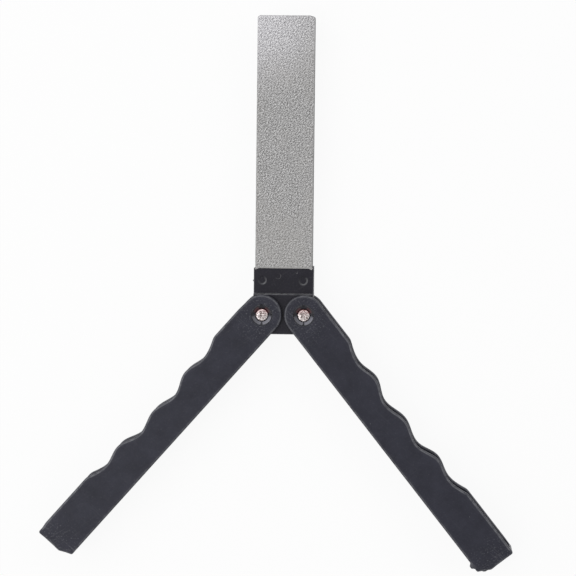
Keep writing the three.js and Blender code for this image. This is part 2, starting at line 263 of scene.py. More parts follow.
# A ring this small closes to a point on the axis
AXIS_RADIUS = 1e-6


# Small helpers

def smoothstep(low, high, value):
    """Eases from 0 at low to 1 at high."""
    share = np.clip((value - low) / (high - low), 0.0, 1.0)
    return share * share * (3 - 2 * share)


def wobble(points, frequency, seed):
    """Smooth noise from -1 to 1 at each point."""
    shift = Vector((seed * 17.3, seed * 5.1, seed * 9.7))
    return np.array([noise.noise(Vector(point) * frequency + shift) for point in points])


def quarter(steps=ROUND_STEPS):
    """Angles of a quarter turn in even steps."""
    return [math.pi / 2 * step / steps for step in range(steps + 1)]


def quarter_round(radius, steps=ROUND_STEPS):
    """Pairs round a corner: one falls from the radius to 0 while the other rises from 0 to the radius."""
    return [(radius * (1 - math.sin(turn)), radius * (1 - math.cos(turn))) for turn in quarter(steps)]


def circle(radius, height, steps=CIRCLE_STEPS):
    turns = np.arange(steps) * 2 * math.pi / steps
    return np.column_stack((radius * np.cos(turns), radius * np.sin(turns), np.full(steps, height)))


def lifted(points, heights=0.0):
    """Level points at one height or at a height each."""
    return np.column_stack((points, np.full(len(points), heights)))


def enclosed(points, loops):
    """Which points lie inside the loops, holes left out."""
    inside = np.zeros(len(points), bool)
    for loop in loops:
        for start, end in zip(loop, np.roll(loop, -1, axis=0)):
            if start[1] != end[1]:
                crosses = (start[1] > points[:, 1]) != (end[1] > points[:, 1])
                along = (points[:, 1] - start[1]) / (end[1] - start[1])
                inside ^= crosses & (start[0] + along * (end[0] - start[0]) > points[:, 0])
    return inside


class Shell:
    """A closed skin under construction, in millimetres, with the edge wear of each point."""

    def __init__(self):
        self.points = []
        self.wear = []
        self.faces = []

    def ring(self, points, wear=0.0):
        first = len(self.points)
        self.points.extend(tuple(float(value) for value in point) for point in points)
        self.wear.extend([wear] * len(points) if np.isscalar(wear) else list(wear))
        return list(range(first, len(self.points)))

    def bridge(self, near, far, closed=True):
        count = len(near) if closed else len(near) - 1
        for index in range(count):
            after = (index + 1) % len(near)
            self.faces.append((near[index], near[after], far[after], far[index]))

    def bridge_all(self, rings, closed=True, looped=False):
        pairs = list(zip(rings, rings[1:]))
        if looped:
            pairs.append((rings[-1], rings[0]))
        for near, far in pairs:
            self.bridge(near, far, closed)

    def fill(self, outer, hole=(), inside=()):
        """Triangles between level rings, through the inside points."""
        extra = self.ring(inside)
        loops = [loop for loop in (outer, hole) if len(loop)]
        used = [index for loop in loops for index in loop] + extra
        flat = [Vector(self.points[index][:2]) for index in used]
        edges = []
        start = 0
        for loop in loops:
            edges += [(start + step, start + (step + 1) % len(loop)) for step in range(len(loop))]
            start += len(loop)
        # Kind 1 gives the triangles of the whole hull, so those outside the loops are dropped below
        _, _, triangles, origins, _, _ = delaunay_2d_cdt(flat, edges, [], 1, 1e-5, True)
        found = [tuple(used[origins[corner][0]] for corner in triangle) for triangle in triangles]
        level = np.array(self.points)[:, :2]
        middles = level[np.array(found)].mean(axis=1)
        keep = enclosed(middles, [level[loop] for loop in loops])
        self.faces += [corners for corners, kept in zip(found, keep) if kept]


def put_in_scene(name, data):
    """A new object of the scene."""
    made = bpy.data.objects.new(name, data)
    bpy.context.scene.collection.objects.link(made)
    return made


def make_object(name, points, faces, wear=None):
    """A mesh object from points in millimetres, with doubled points joined."""
    mesh = bpy.data.meshes.new(name)
    mesh.from_pydata((np.asarray(points, float) * MM).tolist(), [], faces)
    if wear is not None:
        values = np.asarray(wear, np.float32)
        mesh.attributes.new("wear", "FLOAT", "POINT").data.foreach_set("value", values)
    work = bmesh.new()
    work.from_mesh(mesh)
    bmesh.ops.remove_doubles(work, verts=work.verts, dist=0.001 * MM)
    bmesh.ops.recalc_face_normals(work, faces=work.faces)
    work.to_mesh(mesh)
    work.free()
    return put_in_scene(name, mesh)


def smooth(piece, sharp_degrees=38):
    """Smooth shading that leaves flat faces flat beside their rounded edges."""
    piece.data.polygons.foreach_set("use_smooth", [True] * len(piece.data.polygons))
    piece.data.set_sharp_from_angle(angle=math.radians(sharp_degrees))
    weighted = piece.modifiers.new("flat_faces", "WEIGHTED_NORMAL")
    weighted.mode = "FACE_AREA"
    weighted.weight = 80
    weighted.keep_sharp = True


def fit_in(piece, look, body, node):
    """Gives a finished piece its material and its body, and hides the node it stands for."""
    piece.data.materials.clear()
    piece.data.materials.append(look)
    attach(piece, body)
    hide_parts(node)


def cut_or_join(piece, tool, operation):
    """Applies one boolean to the piece and removes the tool."""
    step = piece.modifiers.new(operation, "BOOLEAN")
    step.operation = operation
    step.solver = "EXACT"
    step.object = tool
    bpy.context.view_layer.update()
    result = bpy.data.meshes.new_from_object(piece.evaluated_get(bpy.context.evaluated_depsgraph_get()))
    piece.modifiers.clear()
    old = piece.data
    piece.data = result
    bpy.data.meshes.remove(old)
    bpy.data.objects.remove(tool)


def paint(piece, name, values_at, origin=0.0):
    """Gives each point of a finished mesh a value worked out from its place, counted from the origin."""
    places = np.empty(3 * len(piece.data.vertices), np.float32)
    piece.data.vertices.foreach_get("co", places)
    values = np.asarray(values_at(places.reshape(-1, 3) / MM - origin), np.float32)
    piece.data.attributes.new(name, "FLOAT", "POINT").data.foreach_set("value", values)


def wear_and_mark_highlights(piece, marks):
    """Edge wear by face: full where a face lies askew, and in a round mark a painted highlight, most at its
    lower right.
    """
    normals = np.empty(3 * len(piece.data.polygons), np.float32)
    middles = np.empty_like(normals)
    piece.data.polygons.foreach_get("normal", normals)
    piece.data.polygons.foreach_get("center", middles)
    middles = middles.reshape(-1, 3)[:, :2] / MM
    wear = smoothstep(0.004, 0.08, 1 - np.abs(normals.reshape(-1, 3)).max(axis=1))
    for place, radius in marks:
        away = middles - place
        # Painted highlight: a mark's rim keeps its wear mostly at the lower right, where light from the
        # upper left would fall
        low_right = smoothstep(-0.3, 0.95, (away[:, 0] - away[:, 1]) / (radius * math.sqrt(2)))
        share = MARK_HIGHLIGHT[0] + (MARK_HIGHLIGHT[1] - MARK_HIGHLIGHT[0]) * low_right
        wear *= np.where(np.hypot(*away.T) > radius, 1.0, share)
    values = piece.data.attributes.new("wear", "FLOAT", "FACE").data
    values.foreach_set("value", wear.astype(np.float32))


# Handles, drawn with the pivot at the origin, the tip along x and the open side along y

def open_edge(along, name):
    """Height of the open side above the pivot, before the finger grooves."""
    near, far = EXTRA_WIDTH[name]
    extra = near + (far - near) * smoothstep(60, 108, along)
    extra *= smoothstep(0, 6, along) * smoothstep(HANDLE_REACH - 1.6, HANDLE_REACH - 6, along)
    return HANDLE_WIDTH - SPINE_EDGE + HANDLE_FLARE * along / HANDLE_REACH + extra


def grip_depth(along):
    """Depth of the finger grooves: waves between the knots, a crisp corner at each end."""
    last = len(GRIP_KNOTS) - 2
    for index, (start, end) in enumerate(zip(GRIP_KNOTS, GRIP_KNOTS[1:])):
        if start[0] <= along <= end[0]:
            share = (along - start[0]) / (end[0] - start[0])
            ease = (1 - math.cos(math.pi * share)) / 2
            if index == 0:
                ease = math.sin(math.pi * share / 2)
            if index == last:
                ease = 1 - math.cos(math.pi * share / 2)
            return start[1] + (end[1] - start[1]) * ease
    return 0.0


def rounded_path(corners):
    """Points along straight runs from corner to corner, each (x, y, radius)."""
    path = [Vector(corners[0][:2])]
    for before, here, after in zip(corners, corners[1:], corners[2:]):
        corner = Vector(here[:2])
        into = (corner - Vector(before[:2])).normalized()
        out = (Vector(after[:2]) - corner).normalized()
        turn = math.atan2(into.cross(out), into.dot(out))
        start = corner - into * here[2] * math.tan(abs(turn) / 2)
        spoke = Vector((into.y, -into.x)) * math.copysign(here[2], turn)
        for share in np.linspace(0, 1, 2 * ROUND_STEPS):
            path.append(start - spoke + Matrix.Rotation(turn * share, 2) @ spoke)
    path.append(Vector(corners[-1][:2]))
    return path


def even_steps(path, step=OUTLINE_STEP):
    """The path with its long runs divided."""
    points = []
    for start, end in zip(path, path[1:]):
        count = max(1, math.ceil((end - start).length / step))
        points += [tuple(start.lerp(end, index / count)) for index in range(count)]
    points.append(tuple(path[-1]))
    return points


def soft_grip_depth(along):
    """The grooves' depth with their corners slightly rounded off."""
    return sum(grip_depth(along + shift) for shift in CORNER_SOFTNESS) / len(CORNER_SOFTNESS)


def free_edge(name):
    """Where the two side walls stand free: from the end wall along the grip and round the lug."""
    half = HANDLE_WIDTH / 2
    run = np.linspace(CHANNEL_END, 0, GRIP_STEPS)
    grip = [Vector((along, open_edge(along, name) - soft_grip_depth(along))) for along in run]
    turns = np.linspace(math.pi / 2, 3 * math.pi / 2, CIRCLE_STEPS // 2 + 1)[1:]
    lug = [Vector((half * math.cos(turn), PIVOT_OFFSET + half * math.sin(turn))) for turn in turns]
    return even_steps(grip + lug + [Vector((SPINE_START, -SPINE_EDGE))])


def tip_corners(name):
    """The tip's three corners, as (along, across, radius)."""
    return (
        (HANDLE_REACH - TIP_BEVEL_LENGTH[name], -SPINE_EDGE, BEVEL_CORNER_RADIUS),
        (HANDLE_REACH, TIP_BEVEL_WIDTH - SPINE_EDGE, BEVEL_CORNER_RADIUS),
        (HANDLE_REACH, open_edge(HANDLE_REACH, name), TIP_CORNER_RADIUS),
    )


def closed_edge(name):
    """Where the spine and the end wall join the side walls, from the lug to the tip."""
    start = (SPINE_START, -SPINE_EDGE, 0)
    end = (CHANNEL_END, open_edge(CHANNEL_END, name), 0)
    return even_steps(rounded_path((start, *tip_corners(name), end)))


def web_path(name):
    """Inner line of the spine and the end wall, from the lug's side to the open side."""
    return even_steps(rounded_path((
        (SPINE_START, -SPINE_EDGE, 0),
        (SPINE_START, CHANNEL_FLOOR, WEB_CORNER_RADIUS),
        (CHANNEL_END, CHANNEL_FLOOR, CHANNEL_CORNER_RADIUS),
        (CHANNEL_END, open_edge(CHANNEL_END, name), 0),
    )), WEB_STEP)


def inward_normals(outline):
    """Mitred directions into an anticlockwise outline."""
    back = outline - np.roll(outline, 1, axis=0)
    ahead = np.roll(outline, -1, axis=0) - outline
    normals = []
    for run in (back, ahead):
        run = run / np.linalg.norm(run, axis=1)[:, None]
        normals.append(np.column_stack((-run[:, 1], run[:, 0])))
    total = normals[0] + normals[1]
    total /= np.linalg.norm(total, axis=1)[:, None]
    stretch = np.clip((total * normals[0]).sum(axis=1), 0.7, 1)
    return total / stretch[:, None]


def inside_points(outline, hole_radius, spacing, margin, seed):
    """Jittered points inside the outline, clear of its edge and of the hole round the origin."""
    chance = np.random.default_rng(seed)
    low, high = outline.min(axis=0), outline.max(axis=0)
    across, along = np.meshgrid(np.arange(low[1], high[1], spacing), np.arange(low[0], high[0], spacing))
    points = np.column_stack((along.ravel(), across.ravel()))
    points += chance.uniform(-0.25, 0.25, points.shape) * spacing
    gaps = np.array([np.hypot(*(outline - point).T).min() for point in points])
    clear = (gaps > margin) & (np.hypot(*points.T) > hole_radius + margin)
    return points[clear & enclosed(points, [outline])]


def face_relief(points, seed):
    """How far the moulded face lies below flat: sink marks over the webs and faint waves."""
    spine = points[:, 1] + SPINE_EDGE - SPINE_WALL / 2
    end = CHANNEL_END - points[:, 0]
    sink = np.exp(-(spine / SINK_WIDTH) ** 2) * (points[:, 0] > SPINE_START)
    sink += 1.4 * np.exp(-(end / (SINK_WIDTH / 2)) ** 2)
    waves = 0.5 + 0.5 * wobble(lifted(points), 0.09, seed)
    return SINK_DEPTH * sink + WAVE_DEPTH * waves


def flash_bulge(outline, lumps):
    """How far moulding flash stands out of the outline."""
    bulge = np.zeros(len(outline))
    for along, across, half_length, height in lumps:
        distance = np.hypot(outline[:, 0] - along, outline[:, 1] - across)
        bulge = np.maximum(bulge, height * smoothstep(half_length, 0.35 * half_length, distance))
    return bulge


def edge_rounding(name, outline, seed):
    """Radius of the outer edge at each point: least at the tip's corners, and uneven all along."""
    along, across = outline.T
    on_spine = smoothstep(6, 16, along) * (across < 1 - SPINE_EDGE)
    radius = GRIP_ROUND + (SPINE_ROUND - GRIP_ROUND) * on_spine
    radius += (TIP_ROUND - radius) * smoothstep(HANDLE_REACH - 12, HANDLE_REACH - 4, along)
    for corner in tip_corners(name):
        near = smoothstep(3.0, 1.0, np.hypot(along - corner[0], across - corner[1]))
        radius += (CORNER_ROUND - radius) * near
    return radius * (1 + EDGE_UNEVENNESS * wobble(lifted(outline), 0.2, seed))


def lip_rounding(edge):
    """Radius of the inner edge at each point of the free edge, running out at both ends."""
    run = np.concatenate(([0], np.cumsum(np.hypot(*np.diff(edge, axis=0).T))))
    return INNER_ROUND * smoothstep(0, ROUND_TAPER, np.minimum(run, run[-1] - run))


def lug_bore(shell, facing):
    """Rings down a lug's bore: a rounded lip, the counterbore and the bore."""
    rings = []
    for turn in quarter():
        radius = COUNTERBORE_RADIUS + COUNTERBORE_LIP * (1 - math.sin(turn))
        height = HALF_THICKNESS - COUNTERBORE_LIP * (1 - math.cos(turn))
        rings.append(shell.ring(circle(radius, facing * height), math.sin(turn)))
    floor = HALF_THICKNESS - COUNTERBORE_DEPTH
    for radius, height in (
        (COUNTERBORE_RADIUS, floor), (LUG_BORE_RADIUS, floor), (LUG_BORE_RADIUS, CHANNEL_HALF),
    ):
        rings.append(shell.ring(circle(radius, facing * height)))
    shell.bridge_all(rings)
    return rings


def handle_shell(name, seed):
    """The skin of one handle: two side walls with rounded edges, joined by the spine and the end wall."""
    free = free_edge(name)
    outline = np.array(free + closed_edge(name)[1:-1])
    inward = inward_normals(outline)
    everywhere = np.arange(len(outline))
    on_free_edge = everywhere < len(free)
    free_part = everywhere[on_free_edge]
    fixed_part = np.array([*everywhere[len(free) - 1:], 0])
    outer_round = edge_rounding(name, outline, seed)
    inner_round = lip_rounding(outline[free_part])
    bulge = flash_bulge(outline, TIP_FLASH[name])
    grip_share = LUG_RUB + (1 - LUG_RUB) * smoothstep(8, 20, outline[:, 0])
    rub_share = np.where(on_free_edge, grip_share, SPINE_RUB)
    shell = Shell()

    def place(indices, inset, heights, wear=0.0):
        spots = outline[indices] + inward[indices] * np.asarray(inset)[:, None]
        return shell.ring(lifted(spots, heights), wear)

    web_levels = []
    side_levels = []
    for facing in (1, -1):
        proud = bulge if facing > 0 else REAR_FLASH_SHARE * bulge
        face_round = outer_round if facing > 0 else REAR_ROUND_SHARE * outer_round
        rings = []
        for turn in quarter():
            rise = face_round * (1 - math.cos(turn))
            inset = face_round * (1 - math.sin(turn)) - proud * math.sin(turn)
            # Painted rim highlight as well as edge wear: across the rounded edge it peaks near the face,
            # where the edge would catch the light
            brightening = math.sin(math.pi * math.sqrt(turn / quarter()[-1])) ** 2
            edge_wear_and_highlight = SIDE_WEAR + (1 - SIDE_WEAR) * brightening * rub_share
            rings.append(place(everywhere, inset, facing * (HALF_THICKNESS - rise), edge_wear_and_highlight))
        foot = np.full(len(outline), CHANNEL_HALF)
        foot[free_part] += inner_round
        foot_wear = np.where(on_free_edge, RIM_WEAR, SIDE_WEAR)
        rings.append(place(everywhere, -0.8 * proud, facing * foot, foot_wear))
        shell.bridge_all(rings)
        lips = [[rings[-1][index] for index in free_part]]
        for turn in quarter()[1:]:
            inset = inner_round * (1 - math.cos(turn))
            rise = CHANNEL_HALF + inner_round * (1 - math.sin(turn))
            lips.append(place(free_part, inset, facing * rise, LIP_WEAR * math.cos(turn)))
        shell.bridge_all(lips, closed=False)
        side_levels.append([rings[-1][index] for index in fixed_part])

        bore = lug_bore(shell, facing)
        edge = np.array([shell.points[index][:2] for index in rings[0]])
        hole = COUNTERBORE_RADIUS + COUNTERBORE_LIP
        spots = inside_points(edge, hole, FACE_SPACING, FACE_MARGIN, seed + facing)
        heights = facing * (HALF_THICKNESS - face_relief(spots, seed + facing))
        shell.fill(rings[0], bore[0], lifted(spots, heights))

        web_ring = shell.ring(lifted(web_path(name), facing * CHANNEL_HALF))
        web_levels.append(web_ring)
        shell.fill(lips[-1] + web_ring[1:-1], bore[-1])

    parting_inset = PARTING_DEPTH - 0.5 * bulge[fixed_part]
    parting = place(fixed_part, parting_inset, 0.0, SIDE_WEAR)
    shell.bridge_all([side_levels[0], parting, side_levels[1]], closed=False)
    shell.bridge(*web_levels, closed=False)
    return shell


def handle_angle(body, side):
    """Direction of a handle at rest."""
    return math.radians(-90 + side * SPREADS[body])


def turned_to(points, body, side):
    """Handle points moved to their place in the frame at rest."""
    angle = handle_angle(body, side)
    x, y, z = np.asarray(points, float).T
    y = side * y
    turned_x = x * math.cos(angle) - y * math.sin(angle)
    turned_y = x * math.sin(angle) + y * math.cos(angle)
    return np.column_stack((turned_x, turned_y, z)) + PIVOTS[body]


def handle_scuffs(points, body, side):
    """How scuffed the handle is: most at the tip and round the pivot."""
    angle = handle_angle(body, side)
    x, y, _ = points.T
    along = x * math.cos(angle) + y * math.sin(angle)
    at_tip = smoothstep(122, 136, along)
    at_pivot = smoothstep(16, 6, np.hypot(x, y))
    return BASE_SCUFF + TIP_SCUFF * at_tip + LUG_SCUFF * at_pivot


def add_handle(name, look, seed):
    body = f"{name}_handle"
    side = SIDES[name]
    shell = handle_shell(name, seed)
    points = turned_to(shell.points, body, side)
    piece = make_object(f"{name}_handle_channel", points, shell.faces, shell.wear)
    paint(piece, "scuff", lambda places: handle_scuffs(places, body, side), PIVOTS[body])
    smooth(piece)
    fit_in(piece, look, body, body)


# Holder: sections across the bar, carried along it

def section(half_width, half_height, radius, along):
    """A rounded rectangle across the bar."""
    points = []
    for corner, (right, up) in enumerate(((1, 1), (-1, 1), (-1, -1), (1, -1))):
        for turn in quarter():
            angle = math.pi / 2 * corner + turn
            x = right * (half_width - radius) + radius * math.cos(angle)
            z = up * (half_height - radius) + radius * math.sin(angle)
            points.append((x, along, z))
    return points


def holder_stations():
    """Rows of (along, half width, half height) from the block's foot to the bar's tip."""
    rows = []
    for falling, rising in quarter_round(BLOCK_CORNER_RADIUS, BLOCK_CORNER_STEPS):
        height = BLOCK_HALF_HEIGHT - HOLDER_ROUND * (1 - min(1, rising / HOLDER_ROUND)) ** 2
        rows.append((BLOCK_FOOT + rising, HOLDER_HALF_WIDTH - falling, height))
    for falling, rising in quarter_round(SHOULDER_ROUND):
        rows.append((SHOULDER - falling, HOLDER_HALF_WIDTH, BLOCK_HALF_HEIGHT - rising))
    for falling, rising in quarter_round(HOLDER_ROUND):
        rows.append((SHOULDER + rising, HOLDER_HALF_WIDTH, SEAT_HALF_HEIGHT + falling))
    rows.append((SEAT_END, HOLDER_HALF_WIDTH, SEAT_HALF_HEIGHT))
    rows.append((SEAT_END, SLAB_HALF_WIDTH, SLAB_HALF_HEIGHT))
    tip = node_box("holder_core")[1][1] - MID_PIVOT[1]
    for falling, rising in quarter_round(PLATE_CORNER_RADIUS):
        rows.append((tip - falling, SLAB_HALF_WIDTH - rising, SLAB_HALF_HEIGHT))
    return rows


def lofted(name, sections, place, capped=True):
    """A solid through sections along it, with flat ends where it is capped."""
    shell = Shell()
    rings = [shell.ring(points) for points in sections]
    shell.bridge_all(rings)
    if capped:
        shell.faces += [tuple(rings[0]), tuple(rings[-1])]
    return make_object(name, np.array(shell.points) + place, shell.faces)


def round_cutter(name, profile, place):
    """A turned tool from (radius, height) pairs that start and end on the axis."""
    rings = [circle(max(radius, AXIS_RADIUS), height, CIRCLE_STEPS // 2) for radius, height in profile]
    return lofted(name, rings, place, capped=False)


def side_lip(side):
    """One of the lips beside the plates; the left one is broken off short."""
    top = SEAT_END + (LIP_HEIGHT if side > 0 else BROKEN_LIP_HEIGHT)
    sections = []
    for along, inset in ((SEAT_END - 2.0, 0.0), (top - 0.12, 0.0), (top, 0.09)):
        half_width = LIP_WIDTH / 2 - inset
        half_height = SEAT_HALF_HEIGHT - LIP_INSET - inset
        points = np.array(section(half_width, half_height, LIP_ROUND, along))
        points[:, 0] += side * (HOLDER_HALF_WIDTH - LIP_INSET - LIP_WIDTH / 2)
        sections.append(points)
    return lofted("lip", sections, MID_PIVOT)


def mark_cutter(facing, across, along, radius, depth):
    """A tool for one round mark with a sloped wall, on the front or the rear of the seat."""
    face = facing * SEAT_HALF_HEIGHT
    low = facing * (SEAT_HALF_HEIGHT - depth)
    high = facing * (SEAT_HALF_HEIGHT + 0.3)
    foot = radius - MARK_SLOPE * depth
    profile = ((0, low), (foot, low), (radius, face), (radius + 0.1, high), (0, high))
    return round_cutter("mark", profile, MID_PIVOT + np.array((across, along, 0)))


def add_holder(look):
    """Hinge block, seat and slab in one moulding, with its bores, lips and marks."""
    sections = [section(width, height, HOLDER_ROUND, along) for along, width, height in holder_stations()]
    piece = lofted("holder_body", sections, MID_PIVOT)
    for side in (-1, 1):
        cut_or_join(piece, side_lip(side), "UNION")
    deep = BLOCK_HALF_HEIGHT + 1
    bore = ((0, -deep), (STEM_BORE_RADIUS, -deep), (STEM_BORE_RADIUS, deep), (0, deep))
    for pivot in PIVOTS.values():
        cut_or_join(piece, round_cutter("bore", bore, pivot), "DIFFERENCE")
    for facing in (1, -1):
        for mark in SEAT_MARKS:
            cut_or_join(piece, mark_cutter(facing, *mark), "DIFFERENCE")
    across, along, depth = SIDE_NUB
    turns = np.linspace(0, math.pi, 2 * ROUND_STEPS)
    ball = [(NUB_RADIUS * math.sin(turn), -NUB_RADIUS * math.cos(turn)) for turn in turns]
    nub = round_cutter("nub", ball, MID_PIVOT + np.array((across, along, SEAT_HALF_HEIGHT - depth)))
    cut_or_join(piece, nub, "UNION")
    wear_and_mark_highlights(piece, [(MID_PIVOT[:2] + mark[:2], mark[2] + 0.05) for mark in SEAT_MARKS])
    paint(piece, "scuff", lambda places: np.full(len(places), HOLDER_SCUFF))
    smooth(piece, 30)
    fit_in(piece, look, "stone_holder", "holder_core")


# Diamond plates and the films that bond them

def corner_inset(rows_along, radius):
    """How far a rounded tip corner draws an edge in, for each row."""
    into = np.clip(rows_along - (rows_along[-1] - radius), 0, radius)
    return radius - np.sqrt(np.maximum(radius ** 2 - into ** 2, 0))


def plate_edges(rows_along, columns_across, seed, blunted):
    """Left and right edge for each row, and start and tip edge for each column, slightly ragged."""
    lines = []
    for index, places in enumerate((rows_along, rows_along, columns_across, columns_across)):
        spots = [(place, index * 40.0, 0.0) for place in places]
        coarse = wobble(spots, 0.25, seed)
        fine = wobble(spots, 1.3, seed + 1)
        lines.append(PLATE_RAGGED * (0.5 + 0.3 * coarse + 0.6 * np.abs(fine)))
    left, right, start, end = lines
    left = left + corner_inset(rows_along, PLATE_CORNER_RADIUS)
    right = right + corner_inset(rows_along, BLUNT_CORNER_RADIUS if blunted else PLATE_CORNER_RADIUS)
    if blunted:
        aside = np.minimum(columns_across - columns_across[0], columns_across[-1] - columns_across)
        start = start - CORNER_DIP * smoothstep(1.7, 0.1, aside)
    return left, right, start, end


def scatter_grains(shape, seed):
    """Heights of grains that differ sharply from those beside them, within GRAIN_LIMIT of the middle."""
    grains = np.random.default_rng(seed).standard_normal(shape)
    beside = sum(np.roll(grains, step, axis) for axis in (0, 1) for step in (-1, 1))
    near = range(-2, 3)
    around = sum(np.roll(grains, (step, shift), (0, 1)) for step in near for shift in near) / len(near) ** 2
    spread = grains - GRAIN_SHARPNESS * beside - GRAIN_EVENNESS * around
    return GRAIN_LIMIT * np.tanh(GRAIN_CONTRAST * spread / spread.std())


def plate_grid(low, high, facing, grit, seed, blunted):
    """Places of the grains all over a plate's face, and the tone of each."""
    columns_across = np.arange(low[0], high[0] + GRIT_STEP / 2, GRIT_STEP)
    rows_along = np.arange(low[1], high[1] + GRIT_STEP / 2, GRIT_STEP)
    left, right, start, end = plate_edges(rows_along, columns_across, seed, blunted)
    shape = (len(rows_along), len(columns_across))
    grains = scatter_grains(shape, seed)
    share_across = np.linspace(0, 1, shape[1])[None, :]
    share_along = np.linspace(0, 1, shape[0])[:, None]
    x = (low[0] + left[:, None]) * (1 - share_across) + (high[0] - right[:, None]) * share_across
    y = (low[1] + start[None, :]) * (1 - share_along) + (high[1] - end[None, :]) * share_along
    steps_in = np.minimum(
        np.minimum(share_across, 1 - share_across) * (shape[1] - 1),
        np.minimum(share_along, 1 - share_along) * (shape[0] - 1),
    )
    drop = PLATE_EDGE_DROP * smoothstep(1.6, 0.0, steps_in)
    face = high[2] if facing > 0 else low[2]
    z = face - facing * (grit * (GRAIN_LIMIT - grains) / GRAIN_LIMIT + drop)
    covered = smoothstep(0.0, 2.0, steps_in)
    covered *= 0.25 + 0.75 * smoothstep(0.5, 1.2, (y - low[1]) / BARE_STRIP)
    tone = np.clip(BARE_TONE + GRAIN_TONE * grains * covered, 0, 1)
    return np.stack((x, y, z), axis=-1), tone


def add_plate(name, node, facing, grit, seed, look, blunted):
    """A thin steel plate whose face is a relief of bonded grains."""
    low, high = node_box(node)
    face, back = (high[2], low[2]) if facing > 0 else (low[2], high[2])
    places, tone = plate_grid(low, high, facing, grit, seed, blunted)
    shell = Shell()
    grid = np.array(shell.ring(places.reshape(-1, 3), tone.ravel())).reshape(tone.shape)
    corners = (grid[:-1, :-1], grid[:-1, 1:], grid[1:, 1:], grid[1:, :-1])
    shell.faces += np.column_stack([corner.ravel() for corner in corners]).tolist()
    border = [*grid[0, :], *grid[1:, -1], *grid[-1, -2::-1], *grid[-2:0:-1, 0]]
    border = [int(index) for index in border]
    rim = np.array([shell.points[index] for index in border])
    rims = [border]
    for height in (0.55, 0.2, 0.0):
        level = rim.copy()
        level[:, 2] = back + (face - back) * height
        rims.append(shell.ring(level, BARE_TONE))
    shell.bridge_all(rims)
    shell.fill(rims[-1])
    piece = make_object(name, shell.points, shell.faces, shell.wear)

    def corner_brightening(places):
        reach = np.hypot(places[:, 0] - low[0], places[:, 1] - high[1])
        return CORNER_BRIGHTENING * smoothstep(40, 2, reach)

    paint(piece, "brightening", corner_brightening)
    smooth(piece, 60)
    fit_in(piece, look, "stone_holder", node)


def add_film(name, node, seed, look):
    """A squeezed-out film of adhesive, uneven along its edge."""
    low, high = node_box(node)
    radius = BLUNT_CORNER_RADIUS
    outline = np.array(even_steps(rounded_path((
        (low[0], low[1], 0), (high[0], low[1], 0.3), (high[0], high[1], radius),
        (low[0], high[1], radius), (low[0], low[1], 0),
    )), FILM_STEP)[:-1])
    inward = inward_normals(outline)
    uneven = FILM_UNEVENNESS * (1 + wobble(lifted(outline, low[2]), 0.35, seed))
    shell = Shell()
    rings = []
    for share, inset in ((0.0, FILM_ROUND), (0.3, 0.0), (0.7, 0.0), (1.0, FILM_ROUND)):
        spots = outline + inward * (uneven + inset)[:, None]
        rings.append(shell.ring(lifted(spots, low[2] + (high[2] - low[2]) * share)))
    shell.bridge_all(rings)
    shell.fill(rings[0])
    shell.fill(rings[-1])
    piece = make_object(name, shell.points, shell.faces)
    smooth(piece, 50)
    fit_in(piece, look, "stone_holder", node)


# Pivots, turned about z from the middle plane outwards

def turned_shell(profile, form=None, steps=CIRCLE_STEPS, looped=True):
    """Rings from (radius, height, wear) rows; form may reshape the grid of radius, height and angle."""
    rows = np.array(profile, float)
    angles = np.arange(steps) * 2 * math.pi / steps
    radius = np.repeat(rows[:, :1], steps, axis=1)
    height = np.repeat(rows[:, 1:2], steps, axis=1)
    if form:
        radius, height = form(radius, height, angles[None, :])
    shell = Shell()
    rings = []
    for radii, heights, wear in zip(radius, height, rows[:, 2]):
        points = np.column_stack((radii * np.cos(angles), radii * np.sin(angles), heights))
        rings.append(shell.ring(points, float(wear)))
    shell.bridge_all(rings, looped=looped)
    return shell


def line(start, end, count, wear=0.0):
    """Profile rows from one (radius, height) to another, without the last."""
    start = np.array(start)
    reach = np.array(end) - start
    return [(*(start + reach * step / count), wear) for step in range(count)]


def chain(*corners):
    """Profile rows from corner to corner without the last, each (radius, height, rows to the next)."""
    rows = []
    for here, after in zip(corners, corners[1:]):
        rows += line(here[:2], after[:2], here[2])
    return rows


def bush_outside(flange_rows):
    """Profile rows of a bush from its foot up the stem and barrel and over the flange's rounded edge."""
    under = HALF_THICKNESS - FLANGE_THICKNESS
    rows = chain(
        (SHANK_HOLE_RADIUS, BUSH_FOOT, 1),
        (STEM_RADIUS, BUSH_FOOT, 1),
        (STEM_RADIUS, BUSH_SHOULDER, 1),
        (BARREL_RADIUS, BUSH_SHOULDER, 1),
        (BARREL_RADIUS, under, 1),
        (FLANGE_RADIUS, under, flange_rows),
        (FLANGE_RADIUS, HALF_THICKNESS - FLANGE_ROUND, 0),
    )
    for falling, rising in quarter_round(FLANGE_ROUND):
        rows.append((FLANGE_RADIUS - rising, HALF_THICKNESS - falling, 1.0))
    return rows


def front_bush():
    """The bush that shows: a dish with four slots round the pocket of the screw head."""
    top = HALF_THICKNESS
    profile = bush_outside(6)
    profile += line((FLANGE_RADIUS - FLANGE_ROUND, top), (DISH_RADIUS, top), 3, 0.6)[1:]
    profile += chain(
        (DISH_RADIUS, top - 0.02, 12),
        (HEAD_POCKET_RADIUS, top - DISH_DEPTH, 2),
        (HEAD_POCKET_RADIUS, HEAD_SEAT, 2),
        (SHANK_HOLE_RADIUS, HEAD_SEAT, 2),
        (SHANK_HOLE_RADIUS, BUSH_FOOT, 0),
    )

    def slots(radius, height, angle):
        part = 2 * math.pi / SLOT_COUNT
        aside = np.abs((angle + part / 2) % part - part / 2) * radius
        walls = smoothstep(SLOT_HALF_WIDTH - 0.05, SLOT_HALF_WIDTH + 0.12, aside)
        limit = SLOT_HEIGHT + (HALF_THICKNESS - SLOT_HEIGHT) * walls
        cut = (radius > HEAD_POCKET_RADIUS - 0.01) & (height > SLOT_HEIGHT)
        return radius, np.where(cut, np.minimum(height, limit), height)

    return turned_shell(profile, slots, 2 * CIRCLE_STEPS)


